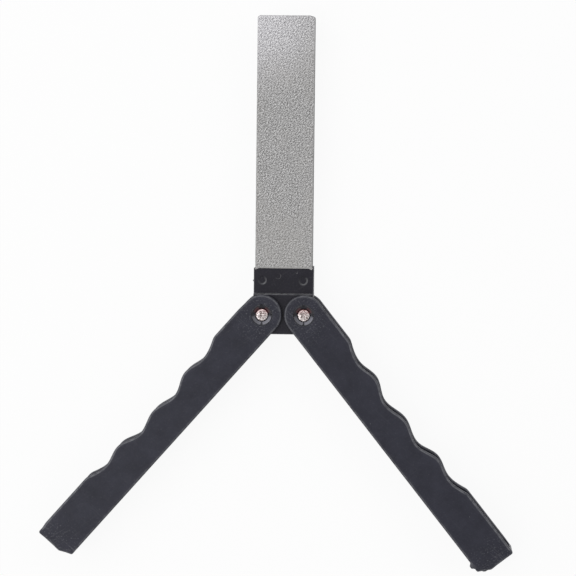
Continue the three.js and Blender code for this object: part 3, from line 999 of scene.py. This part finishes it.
def hexagon(angle, across_flats):
    """Distance from the middle to a hexagon's edge."""
    part = math.pi / 3
    return across_flats / 2 / np.cos((angle + part / 2) % part - part / 2)


def rear_bush():
    """The far bush, with a hexagon pocket for the nut."""
    top = HALF_THICKNESS
    pocket = NUT_ACROSS_FLATS + 2 * NUT_POCKET_GAP
    seat = NUT_SEAT - BUSH_FOOT
    profile = bush_outside(2)
    outer_rows = len(profile)
    profile += [(0.12, top, 0.8), (0.04, top - 0.05, 1.0), (0.0, top - 0.14, 0.8), (0.0, seat, 0.0)]
    pocket_rows = len(profile)
    profile += line((SHANK_HOLE_RADIUS, seat), (SHANK_HOLE_RADIUS, BUSH_FOOT), 2)

    def hex_pocket(radius, height, angle):
        radius = radius.copy()
        radius[outer_rows:pocket_rows] += hexagon(angle, pocket)
        return radius, height

    return turned_shell(profile, hex_pocket)


def cross_recess(x, y):
    """Depth of the driver cross below the head's dome."""
    inside = np.zeros_like(x)
    for along, aside in ((np.abs(x), np.abs(y)), (np.abs(y), np.abs(x))):
        gap = np.maximum(aside - CROSS_HALF_WIDTH, along - CROSS_HALF_LENGTH)
        inside = np.maximum(inside, smoothstep(0.1, -0.1, gap))
    reach = np.hypot(x, y) / CROSS_HALF_LENGTH
    return inside * CROSS_DEPTH * (1 - 0.55 * np.clip(reach, 0, 1))


def pivot_screw(turn_degrees, seed):
    """A pan head screw with a driver cross, worn plating and a threaded shank."""
    seat = HEAD_SEAT + BUSH_FOOT
    shoulder = seat + HEAD_SIDE_HEIGHT
    foot = NUT_SUNK - HALF_THICKNESS
    profile = [(AXIS_RADIUS, shoulder, 0.0)]
    profile += line((0.06, shoulder), (HEAD_RADIUS, shoulder), DOME_ROWS)
    head_rows = len(profile)
    profile += [(HEAD_RADIUS, shoulder, 0.6), (HEAD_RADIUS, seat + HEAD_EDGE, 0.4)]
    profile += [(HEAD_RADIUS - HEAD_EDGE, seat, 0.3), (SCREW_RADIUS, seat, 0.0)]
    thread_start = len(profile)
    profile += line((SCREW_RADIUS, seat - 0.4), (SCREW_RADIUS, foot + 0.3), THREAD_ROWS, 0.2)
    thread_end = len(profile)
    profile += [(SCREW_RADIUS - 0.1, foot + 0.12, 0.5), (SCREW_RADIUS - 0.35, foot, 0.4)]
    profile += [(AXIS_RADIUS, foot, 0.2)]
    turn = math.radians(turn_degrees)

    def head(radius, height, angle):
        radius, height = radius.copy(), height.copy()
        rows = slice(0, head_rows)
        share = radius[rows] / HEAD_RADIUS
        dome = (HEAD_HEIGHT - HEAD_SIDE_HEIGHT) * np.sqrt(np.maximum(1 - share ** HEAD_CROWN, 0))
        x, y = radius[rows] * np.cos(angle - turn), radius[rows] * np.sin(angle - turn)
        level = lifted(np.column_stack((x.ravel(), y.ravel())))
        rough = (0.6 * wobble(level, 2.4, seed) + 0.9 * wobble(level, 4.6, seed)).reshape(x.shape)
        height[rows] += dome - cross_recess(x, y) + PLATING_RELIEF * (rough - 1.2)
        rows = slice(thread_start, thread_end)
        phase = (height[rows] / THREAD_PITCH + angle / (2 * math.pi)) % 1
        radius[rows] -= THREAD_DEPTH * np.abs(2 * phase - 1)
        return radius, height

    return turned_shell(profile, head, looped=False)


def pivot_nut():
    """A hexagon nut, chamfered on both faces."""
    low = NUT_SEAT
    high = low + NUT_THICKNESS
    bore = SHANK_HOLE_RADIUS + NUT_CHAMFER
    profile = [(SHANK_HOLE_RADIUS, low + NUT_CHAMFER, 0.2), (bore, low, 0.4)]
    first = len(profile)
    profile += [(share, low, 0.3) for share in np.linspace(0.1, 1, 8)]
    profile += [(1.0, high, 0.6)]
    profile += [(share, high, 0.5) for share in np.linspace(1, 0.1, 8)[1:]]
    last = len(profile)
    profile += [(bore, high, 0.6), (SHANK_HOLE_RADIUS, high - NUT_CHAMFER, 0.4)]
    profile += line((SHANK_HOLE_RADIUS, high - 0.3), (SHANK_HOLE_RADIUS, low + 0.3), 12, 0.1)

    def hex_form(radius, height, angle):
        radius, height = radius.copy(), height.copy()
        rows = slice(first, last)
        radius[rows] = bore + radius[rows] * (hexagon(angle, NUT_ACROSS_FLATS) - bore)
        beyond = np.maximum(radius[rows] - NUT_ACROSS_FLATS / 2 * NUT_FACE_SHARE, 0)
        slope = beyond * math.tan(math.radians(NUT_FACE_SLOPE))
        middle = (low + high) / 2
        height[rows] += np.where(height[rows] > middle, -slope, slope)
        return radius, height

    return turned_shell(profile, hex_form, NUT_STEPS)


def head_painted_shade(points):
    """Painted shade: reddish-brown darkening round the upper half of a screw head's rim, fainter over the
    head.
    """
    x, y, z = points.T
    rim = smoothstep(HEAD_RADIUS - 0.5, HEAD_RADIUS - 0.2, np.hypot(x, y))
    upper_half = HEAD_SHADE * smoothstep(-0.7, 2.2, y)
    return np.maximum(rim * smoothstep(-0.3, 0.9, y), upper_half) * (z > HEAD_SEAT)


def pocket_painted_reflection(points):
    """Painted reflection: two reddish arcs on the upper wall of the dish round a screw head, where the
    copper head would be reflected.
    """
    x, y, z = points.T
    radius = np.hypot(x, y)
    upward = np.degrees(np.arctan2(y, np.abs(x)))
    arcs = smoothstep(12, 28, upward) * smoothstep(72, 58, upward)
    in_dish = (radius > HEAD_POCKET_RADIUS - 0.05) & (z > HEAD_SEAT)
    return arcs * smoothstep(4.1, 3.5, radius) * in_dish


def dish_painted_highlight(points):
    """A painted highlight: a bright crescent on the dish's lower wall, brighter at the right, and a faint
    arc above.
    """
    x, y, z = points.T
    radius = np.hypot(x, y)
    downward = np.degrees(np.arctan2(-y, np.abs(x)))
    crescent = smoothstep(-4, 22, downward) * (0.5 + 0.5 * smoothstep(-3.6, 1.8, x))
    wall = smoothstep(DISH_RADIUS + 0.05, DISH_RADIUS - 0.15, radius) * smoothstep(2.9, 3.1, radius)
    beside_slot = smoothstep(0.1, 0.4, np.abs(x))
    arc = smoothstep(-15, -40, downward) * smoothstep(DISH_RADIUS - 0.1, DISH_RADIUS, radius)
    in_dish = HALF_THICKNESS - z < DISH_DEPTH + 0.02
    return np.maximum(crescent * wall * beside_slot, RIM_HIGHLIGHT * arc) * in_dish


def add_pivot(name, looks):
    """Both bushes, the screw and the nut of one pivot."""
    pivot = PIVOTS[f"{name}_handle"]
    screw = pivot_screw(CROSS_TURN[name], 3 + SIDES[name])
    # The front bush's dish carries a painted reflection and a painted highlight, and the screw head a
    # painted shade
    makers = (
        ("front_bush", front_bush(), 1, "bush_plastic", 32, {"warm_tint": pocket_painted_reflection, "painted_highlight": dish_painted_highlight}),
        ("rear_bush", rear_bush(), -1, "bush_plastic", 32, {}),
        ("pivot_screw", screw, 1, "screw_metal", 50, {"warm_tint": head_painted_shade}),
        ("pivot_nut", pivot_nut(), -1, "nut_metal", 25, {}),
    )
    for part, shell, facing, slot, sharp, tints in makers:
        points = np.array(shell.points) * (1, facing, facing) + pivot
        piece = make_object(f"{name}_{part}_turned", points, shell.faces, shell.wear)
        for tint, values_at in tints.items():
            paint(piece, tint, values_at, pivot)
        smooth(piece, sharp)
        fit_in(piece, looks[slot], "stone_holder", f"{name}_{part}")


# Materials

class Nodes:
    """A node tree under construction."""

    def __init__(self, tree):
        self.tree = tree

    def feed(self, socket, value):
        """Gives an input a number, a colour or another node's output."""
        if isinstance(value, bpy.types.NodeSocket):
            self.tree.links.new(value, socket)
        elif socket.type == "RGBA":
            socket.default_value = (*value, 1)
        else:
            socket.default_value = value

    def node(self, kind, inputs=None, **settings):
        made = self.tree.nodes.new(kind)
        for setting, value in settings.items():
            setattr(made, setting, value)
        for socket, value in (inputs or {}).items():
            self.feed(made.inputs[socket], value)
        return made

    def math(self, operation, first, second):
        return self.node("ShaderNodeMath", {0: first, 1: second}, operation=operation).outputs[0]


class Look(Nodes):
    """A material built round one Principled shader, with textures measured in millimetres."""

    def __init__(self, name, **constants):
        self.material = bpy.data.materials.new(name)
        self.material.use_nodes = True
        super().__init__(self.material.node_tree)
        self.shader = self.tree.nodes["Principled BSDF"]
        self.set(**constants)
        in_metres = self.node("ShaderNodeTexCoord").outputs["Object"]
        mapping = self.node("ShaderNodeMapping", {"Vector": in_metres, "Scale": (1 / MM,) * 3})
        self.place = mapping.outputs["Vector"]

    def set(self, **inputs):
        """Constants and sources of the shader's own inputs."""
        for socket, value in inputs.items():
            self.feed(self.shader.inputs[socket.replace("_", " ")], value)

    def drawn_out(self, stretch, turn):
        """Places for a texture that is stretched and turned."""
        inputs = {
            "Vector": self.place,
            "Scale": [1 / value for value in stretch],
            "Rotation": (0, 0, math.radians(turn)),
        }
        return self.node("ShaderNodeMapping", inputs, vector_type="TEXTURE").outputs["Vector"]

    def clouds(self, per_mm, detail=3.0, stretch=None, turn=0.0):
        place = self.drawn_out(stretch, turn) if stretch else self.place
        inputs = {"Scale": per_mm, "Detail": detail, "Vector": place}
        return self.node("ShaderNodeTexNoise", inputs).outputs["Fac"]

    def cells(self, per_mm, output="Distance"):
        inputs = {"Scale": per_mm, "Vector": self.place}
        return self.node("ShaderNodeTexVoronoi", inputs).outputs[output]

    def attribute(self, name):
        return self.node("ShaderNodeAttribute", attribute_name=name).outputs["Fac"]

    def span(self, source, low, high, to_low=0.0, to_high=1.0):
        inputs = {"Value": source, "From Min": low, "From Max": high, "To Min": to_low, "To Max": to_high}
        return self.node("ShaderNodeMapRange", inputs).outputs["Result"]

    def drift(self, per_mm, detail, low, high):
        """A value that drifts between low and high from place to place."""
        return self.span(self.clouds(per_mm, detail), 0.3, 0.7, low, high)

    def ramp(self, source, *stops):
        ramp = self.node("ShaderNodeValToRGB", {"Fac": source})
        elements = ramp.color_ramp.elements
        while len(elements) < len(stops):
            elements.new(0.5)
        for element, (position, color) in zip(elements, stops):
            element.position = position
            element.color = (*color, 1)
        return ramp.outputs["Color"]

    def mix(self, share, first, second):
        return self.node("ShaderNodeMix", {0: share, 6: first, 7: second}, data_type="RGBA").outputs[2]

    def bump(self, height, distance_mm, strength=1.0, over=None):
        inputs = {"Strength": strength, "Distance": distance_mm * MM, "Height": height}
        if over is not None:
            inputs["Normal"] = over
        return self.node("ShaderNodeBump", inputs).outputs["Normal"]

    def finished(self, tone, shine, normal):
        """The material, with its colour, roughness and relief joined to the shader."""
        self.set(Base_Color=tone, Roughness=shine, Normal=normal)
        return self.material


def moulded_plastic(name, dark, light, worn, rough, dusty):
    """Black moulded plastic: mottled tone, fine grain, hairline scratches, dust and rubbed edges that are
    partly painted highlight, with painted reflection and painted highlight where a piece carries them.
    """
    look = Look(name, Specular_IOR_Level=0.22)
    mottle = look.math("ADD", look.clouds(0.12, 4), look.drift(0.55, 3, -0.06, 0.06))
    tone = look.ramp(mottle, (0.25, dark), (0.75, light))
    edge = look.attribute("wear")
    # Rubbed edges: edge wear, which on the handles' outer rounded edges is partly a painted rim highlight
    # and on the holder's round marks a painted highlight at their lower right
    rubbed = look.math("MULTIPLY", edge, look.span(look.clouds(0.4, 3), 0.25, 0.65, 0.1, 0.9))
    tone = look.mix(rubbed, tone, worn)
    cell = look.cells(0.55)
    chosen = look.span(look.cells(0.55, "Color"), 0.9 - dusty, 0.92 - dusty)
    speck = look.math("MULTIPLY", look.span(cell, 0.09, 0.05), chosen)
    tone = look.mix(speck, tone, (0.2, 0.2, 0.205))
    hairs = look.span(look.clouds(1.0, 2, (0.06, 2.2, 1.0), 33), 0.62, 0.7)
    hairs_across = look.span(look.clouds(1.0, 2, (0.05, 2.0, 1.0), -42), 0.62, 0.7)
    scratches = look.math("MAXIMUM", hairs, hairs_across)
    hairlines = look.math("MULTIPLY", scratches, look.span(look.clouds(0.3, 2), 0.45, 0.65, 0.25, 0.8))
    marks = look.math("MAXIMUM", look.span(look.clouds(1.4, 5), 0.57, 0.7), hairlines)
    scuffed = look.math("MULTIPLY", look.attribute("scuff"), marks)
    tone = look.mix(look.math("MULTIPLY", scuffed, 0.7), tone, worn)
    # Painted reflection: the reddish tint on the front bush's upper dish wall stands for the copper screw
    # head reflected there
    tone = look.mix(look.attribute("warm_tint"), tone, (0.07, 0.032, 0.036))
    # Painted highlight: a bright crescent on the front bush's lower dish wall and a faint arc above it
    tone = look.mix(look.attribute("painted_highlight"), tone, (0.19, 0.19, 0.22))
    shine = look.drift(0.45, 5, rough - 0.05, rough + 0.05)
    shine = look.math("SUBTRACT", shine, look.math("MULTIPLY", scratches, 0.08))
    grain = look.bump(look.clouds(3.2, 4), 0.012, 0.25)
    normal = look.bump(scratches, -0.01, 0.35, grain)
    return look.finished(tone, shine, normal)


def diamond_look(name):
    """Bonded grit: bright and dark grains, a little warm staining and a tone that grows brighter towards
    one corner of the tip.
    """
    look = Look(name, Metallic=0.12)
    grain = look.attribute("wear")
    fine = look.clouds(5.0, 2)
    sparkle = look.span(fine, 0.3, 0.7, -0.25, 0.25)
    mixed = look.math("ADD", grain, sparkle)

    def graded(dark, middle, pale):
        return look.ramp(mixed, (0.05, dark), (0.5, middle), (0.95, pale))

    tone = graded((0.08, 0.078, 0.077), (0.335, 0.33, 0.329), (0.7, 0.695, 0.695))
    warm_tint = look.span(look.clouds(0.05, 3), 0.45, 0.75, 0, 0.4)
    tone = look.mix(warm_tint, tone, (0.38, 0.367, 0.35))
    bright = graded((0.17, 0.165, 0.175), (0.58, 0.57, 0.595), (0.98, 0.975, 0.99))
    # Brighter towards one corner of the plate's tip
    tone = look.mix(look.attribute("brightening"), tone, bright)
    shine = look.span(fine, 0.3, 0.7, 0.56, 0.72)
    normal = look.bump(look.clouds(4.0, 3), 0.03, 0.6)
    return look.finished(tone, shine, normal)


def plated_metal(name, pale, deep, rough, relief):
    """Plated steel: blotched tint, fine pits and brighter rubbed places."""
    look = Look(name, Metallic=1.0)
    blotch = look.clouds(2.4, 3)
    tone = look.ramp(blotch, (0.4, deep), (0.55, pale))
    # Painted shade: reddish-brown darkening over the upper half of each screw head
    tone = look.mix(look.attribute("warm_tint"), tone, (0.2, 0.065, 0.068))
    rubbed = look.math("MULTIPLY", look.attribute("wear"), look.span(look.clouds(3.0, 2), 0.45, 0.6))
    tone = look.mix(rubbed, tone, (0.8, 0.77, 0.75))
    shine = look.drift(4.0, 3, rough - 0.08, rough + 0.12)
    normal = look.bump(look.clouds(5.0, 3), relief, 0.8)
    return look.finished(tone, shine, normal)


def adhesive_look(name):
    """Dark, dull adhesive."""
    look = Look(name)
    tone = look.ramp(look.clouds(0.8, 4), (0.35, (0.012, 0.012, 0.013)), (0.7, (0.04, 0.038, 0.036)))
    return look.finished(tone, look.drift(2.0, 3, 0.5, 0.75), look.bump(look.clouds(2.5, 3), 0.03, 0.6))


# Stage

def shown_share(nodes):
    """Full where the camera, a mirror or clear material looks, nothing for the light on the object."""
    rays = nodes.node("ShaderNodeLightPath").outputs
    mirrored = nodes.math("MAXIMUM", rays["Is Glossy Ray"], rays["Is Transmission Ray"])
    return nodes.math("MAXIMUM", rays["Is Camera Ray"], mirrored)


def blend_to_output(nodes, share, lit, shown, output):
    """Sends the lit shader to the tree's output, or the shown one by its share."""
    blend = nodes.node("ShaderNodeMixShader", {0: share, 1: lit, 2: shown})
    nodes.feed(nodes.tree.nodes[output].inputs["Surface"], blend.outputs["Shader"])


def add_floor():
    """A pale floor that looks white but keeps the shadow."""
    mesh = bpy.data.meshes.new("floor")
    corners = [(-1, -1), (1, -1), (1, 1), (-1, 1)]
    points = [(x * FLOOR_REACH, y * FLOOR_REACH, FLOOR_LEVEL * MM) for x, y in corners]
    mesh.from_pydata(points, [], [(0, 1, 2, 3)])
    floor = put_in_scene("floor", mesh)
    look = Look("pale_floor", Base_Color=(0.9, 0.9, 0.9), Roughness=0.9, Specular_IOR_Level=0.1)
    share = look.math("MULTIPLY", shown_share(look), FLOOR_GLOW)
    glow = look.node("ShaderNodeEmission").outputs["Emission"]
    blend_to_output(look, share, look.shader.outputs["BSDF"], glow, "Material Output")
    mesh.materials.append(look.material)


def add_world():
    """Even light from all round, shown as white."""
    world = bpy.data.worlds.new("studio")
    world.use_nodes = True
    nodes = Nodes(world.node_tree)
    lit = nodes.tree.nodes["Background"]
    nodes.feed(lit.inputs["Color"], (1, 1, 1))
    nodes.feed(lit.inputs["Strength"], WORLD_STRENGTH)
    white = nodes.node("ShaderNodeBackground", {"Color": (1, 1, 1)})
    blend_to_output(nodes, shown_share(nodes), lit.outputs[0], white.outputs[0], "World Output")
    bpy.context.scene.world = world


def add_lamp(name, place, size, watts):
    """A softbox that points at the frame's origin."""
    lamp = bpy.data.lights.new(name, "AREA")
    lamp.shape = "RECTANGLE"
    lamp.size, lamp.size_y = size
    lamp.energy = watts
    softbox = put_in_scene(name, lamp)
    softbox.location = place
    softbox.rotation_euler = (-Vector(place)).to_track_quat("-Z", "Y").to_euler()


def add_camera():
    """The photograph's camera."""
    data = bpy.data.cameras.new("camera")
    data.lens = CAMERA_LENS
    data.sensor_width = SENSOR_WIDTH
    camera = put_in_scene("camera", data)
    camera.location = [value * MM for value in CAMERA_PLACE]
    camera.rotation_euler = [math.radians(value) for value in CAMERA_TURN]
    bpy.context.scene.camera = camera


bpy.context.scene.view_settings.view_transform = "Standard"
add_camera()
add_floor()
add_world()
for name, lamp in LAMPS.items():
    add_lamp(name, *lamp)

handle_look = moulded_plastic(
    "handle_plastic", dark=(0.0135, 0.0138, 0.022), light=(0.0262, 0.0267, 0.0397),
    worn=(0.19, 0.191, 0.208), rough=0.42, dusty=0.08,
)
holder_look = moulded_plastic(
    "holder_plastic", dark=(0.0042, 0.0037, 0.0082), light=(0.0098, 0.0088, 0.0158),
    worn=(0.16, 0.16, 0.17), rough=0.4, dusty=0.03,
)
bush_look = moulded_plastic(
    "bush_plastic", dark=(0.01, 0.01, 0.014), light=(0.017, 0.017, 0.023),
    worn=(0.08, 0.08, 0.09), rough=0.3, dusty=0.0,
)
screw_look = plated_metal(
    "screw_plating", pale=(0.63, 0.588, 0.58), deep=(0.09, 0.055, 0.053), rough=0.24, relief=0.08,
)
nut_look = plated_metal(
    "nut_plating", pale=(0.56, 0.55, 0.535), deep=(0.34, 0.33, 0.32), rough=0.34, relief=0.03,
)
pivot_looks = {"bush_plastic": bush_look, "screw_metal": screw_look, "nut_metal": nut_look}
grit_look = diamond_look("diamond_coating")
film_look = adhesive_look("bond_film")

add_handle("left", handle_look, 11)
add_handle("right", handle_look, 23)
add_holder(holder_look)
add_plate("coarse_diamond_face", "coarse_diamond_plate", 1, COARSE_GRIT, 5, grit_look, True)
add_plate("fine_diamond_face", "fine_diamond_plate", -1, FINE_GRIT, 6, grit_look, False)
add_film("coarse_film", "coarse_bond_film", 7, film_look)
add_film("fine_film", "fine_bond_film", 8, film_look)
for name in SIDES:
    add_pivot(name, pivot_looks)
